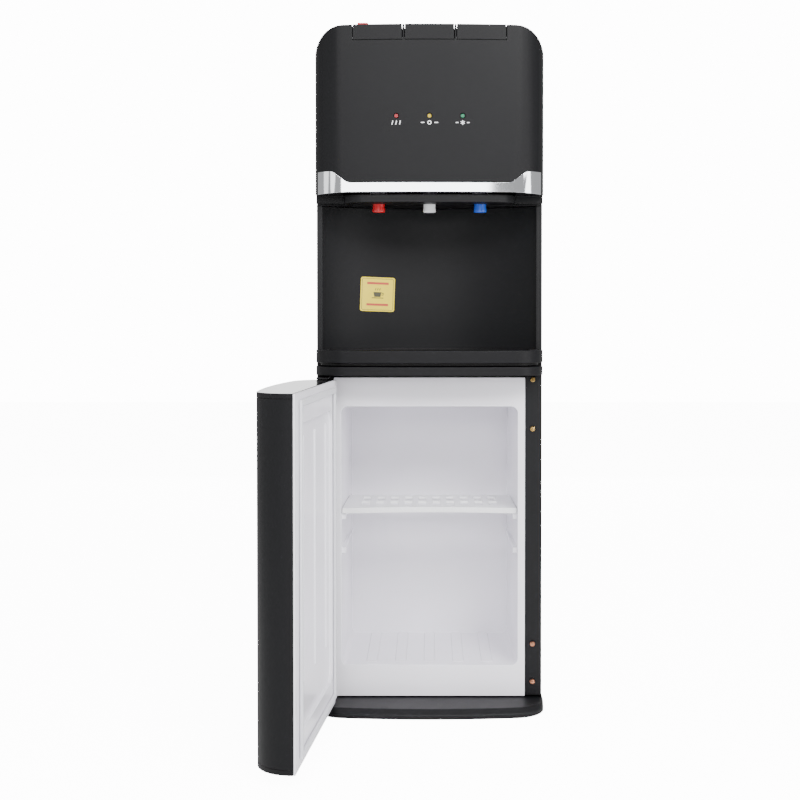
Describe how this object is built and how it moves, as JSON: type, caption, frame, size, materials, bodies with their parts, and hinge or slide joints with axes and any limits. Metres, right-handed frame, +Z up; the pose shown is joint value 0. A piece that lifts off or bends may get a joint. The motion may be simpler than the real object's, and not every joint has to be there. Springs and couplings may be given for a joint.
{
  "type": "water dispenser",
  "caption": "Floor-standing top-loading water dispenser: three press keys and taps over a drip tray, storage cabinet with hinged door below.",
  "frame": {"origin": "centre of the footprint, at floor level, on the plinth's flat underside", "axes": "+Z up, -Y towards the user, +X to the user's right; the door is stored open by 95 degrees"},
  "size_m": [0.3583, 0.6048, 0.9282],
  "materials": {
    "black_abs": "fine-textured moulded ABS, black",
    "black_gloss_abs": "polished moulded ABS, black",
    "black_steel": "powder-coated sheet steel, black",
    "grey_abs": "moulded ABS, dark grey",
    "chrome_plate": "chrome-plated ABS",
    "white_liner": "vacuum-formed polystyrene, white",
    "white_plastic": "moulded polypropylene, white",
    "gasket_pvc": "soft PVC, white",
    "red_plastic": "moulded ABS, red",
    "blue_plastic": "moulded ABS, blue",
    "red_lens": "tinted epoxy, red",
    "yellow_lens": "tinted epoxy, yellow",
    "green_lens": "tinted epoxy, green",
    "green_plastic": "moulded ABS, green",
    "stainless": "stainless steel, brushed",
    "zinc_steel": "zinc-plated steel",
    "brass_plate": "brass-plated steel",
    "bare_aluminium": "extruded aluminium",
    "foam_eps": "expanded polystyrene, beaded",
    "circuit_board": "solder-masked board",
    "silicone": "silicone rubber, translucent white",
    "black_rubber": "moulded rubber, black"
  },
  "bodies": {
    "cabinet": {"base_plinth": "grey_abs", "side_panel_left": "black_steel", "side_panel_right": "black_steel", "rear_panel": "black_steel", "cabinet_liner": "white_liner", "hinge_upper": "black_steel", "hinge_lower": "black_steel", "splash_panel": "black_abs", "tray_ledge": "black_abs", "front_housing": "black_abs", "chrome_trim": "chrome_plate", "tap_lip": "black_abs", "key_pivot_rod": "zinc_steel", "lamp_hot": "red_lens", "lamp_power": "yellow_lens", "lamp_cold": "green_lens", "lamp_board": "circuit_board", "top_cover": "black_abs", "cold_tank": "stainless", "cold_tank_foam": "foam_eps", "cooling_module": "bare_aluminium", "heat_sink": "bare_aluminium", "fan_frame": "black_abs", "hot_tank": "stainless", "hot_tank_foam": "foam_eps", "hose_hot": "silicone", "hose_cold": "silicone", "power_board": "circuit_board", "switch_plate": "black_abs", "cord_gland": "black_rubber", "flange_screw_1": "brass_plate", "flange_screw_2": "brass_plate", "flange_screw_3": "brass_plate", "flange_screw_4": "brass_plate", "tap_hot": "white_plastic", "tap_room": "white_plastic", "tap_cold": "white_plastic", "nozzle_hot": "red_plastic", "nozzle_room": "white_plastic", "nozzle_cold": "blue_plastic"},
    "door": {"door_shell": "black_abs", "door_top_cap": "black_gloss_abs", "door_bottom_cap": "black_gloss_abs", "door_liner": "white_liner", "door_gasket": "gasket_pvc"},
    "shelf": {"shelf": "white_plastic"},
    "drip_tray": {"drip_tray": "black_abs"},
    "drip_grille": {"drip_grille": "black_abs"},
    "child_lock": {"child_lock": "red_plastic"},
    "bottle_collar": {"bottle_collar": "white_plastic"},
    "fan_rotor": {"fan_rotor": "black_abs"},
    "switch_hot": {"switch_hot": "red_plastic"},
    "switch_cold": {"switch_cold": "green_plastic"},
    "drain_cap": {"drain_cap": "white_plastic"},
    "key_hot": {"key_hot": "black_abs"},
    "push_rod_hot": {"push_rod_hot": "white_plastic"},
    "key_room": {"key_room": "black_abs"},
    "push_rod_room": {"push_rod_room": "white_plastic"},
    "key_cold": {"key_cold": "black_abs"},
    "push_rod_cold": {"push_rod_cold": "white_plastic"}
  },
  "joints": [
    {"name": "door_hinge", "type": "hinge", "parent": "cabinet", "child": "door", "pos_m": [-0.1485, -0.128, 0.234], "axis": [0, 0, -1], "range_deg": [-95, 25]},
    {"name": "shelf_slide", "type": "slide", "parent": "cabinet", "child": "shelf", "axis": [0, -1, 0], "range_m": [0, 0.13]},
    {"name": "drip_tray_slide", "type": "slide", "parent": "cabinet", "child": "drip_tray", "axis": [0, -1, 0], "range_m": [0, 0.11]},
    {"name": "drip_grille_lift", "type": "slide", "parent": "drip_tray", "child": "drip_grille", "axis": [0, 0, 1], "range_m": [0, 0.03]},
    {"name": "child_lock_slide", "type": "slide", "parent": "key_hot", "child": "child_lock", "axis": [0, 1, 0], "range_m": [0, 0.0025], "stiffness_N_per_m": 120},
    {"name": "bottle_collar_lift", "type": "slide", "parent": "cabinet", "child": "bottle_collar", "axis": [0, 0, 1], "range_m": [0, 0.08]},
    {"name": "fan_spin", "type": "hinge", "parent": "cabinet", "child": "fan_rotor", "pos_m": [0, 0.145, 0.8], "axis": [0, 1, 0], "continuous": true},
    {"name": "switch_hot_rock", "type": "hinge", "parent": "cabinet", "child": "switch_hot", "pos_m": [0.095, 0.159, 0.615], "axis": [-1, 0, 0], "range_deg": [0, 16]},
    {"name": "switch_cold_rock", "type": "hinge", "parent": "cabinet", "child": "switch_cold", "pos_m": [0.095, 0.159, 0.585], "axis": [-1, 0, 0], "range_deg": [0, 16]},
    {"name": "drain_cap_pull", "type": "slide", "parent": "cabinet", "child": "drain_cap", "axis": [0, 1, 0], "range_m": [0, 0.03]},
    {"name": "key_hot_press", "type": "hinge", "parent": "cabinet", "child": "key_hot", "pos_m": [-0.069, -0.155, 0.908], "axis": [-1, 0, 0], "range_deg": [0, 9], "stiffness_Nm_per_rad": 0.4, "springref_deg": -5.73},
    {"name": "push_rod_hot_drop", "type": "slide", "parent": "cabinet", "child": "push_rod_hot", "axis": [0, 0, -1], "range_m": [0, 0.003]},
    {"name": "key_room_press", "type": "hinge", "parent": "cabinet", "child": "key_room", "pos_m": [0, -0.155, 0.908], "axis": [-1, 0, 0], "range_deg": [0, 9], "stiffness_Nm_per_rad": 0.4, "springref_deg": -5.73},
    {"name": "push_rod_room_drop", "type": "slide", "parent": "cabinet", "child": "push_rod_room", "axis": [0, 0, -1], "range_m": [0, 0.003]},
    {"name": "key_cold_press", "type": "hinge", "parent": "cabinet", "child": "key_cold", "pos_m": [0.069, -0.155, 0.908], "axis": [-1, 0, 0], "range_deg": [0, 9], "stiffness_Nm_per_rad": 0.4, "springref_deg": -5.73},
    {"name": "push_rod_cold_drop", "type": "slide", "parent": "cabinet", "child": "push_rod_cold", "axis": [0, 0, -1], "range_m": [0, 0.003]}
  ],
  "couplings": [
    {"joint": "push_rod_hot_drop", "follows": "key_hot_press", "m_per_rad": 0.0165},
    {"joint": "push_rod_room_drop", "follows": "key_room_press", "m_per_rad": 0.0165},
    {"joint": "push_rod_cold_drop", "follows": "key_cold_press", "m_per_rad": 0.0165}
  ]
}
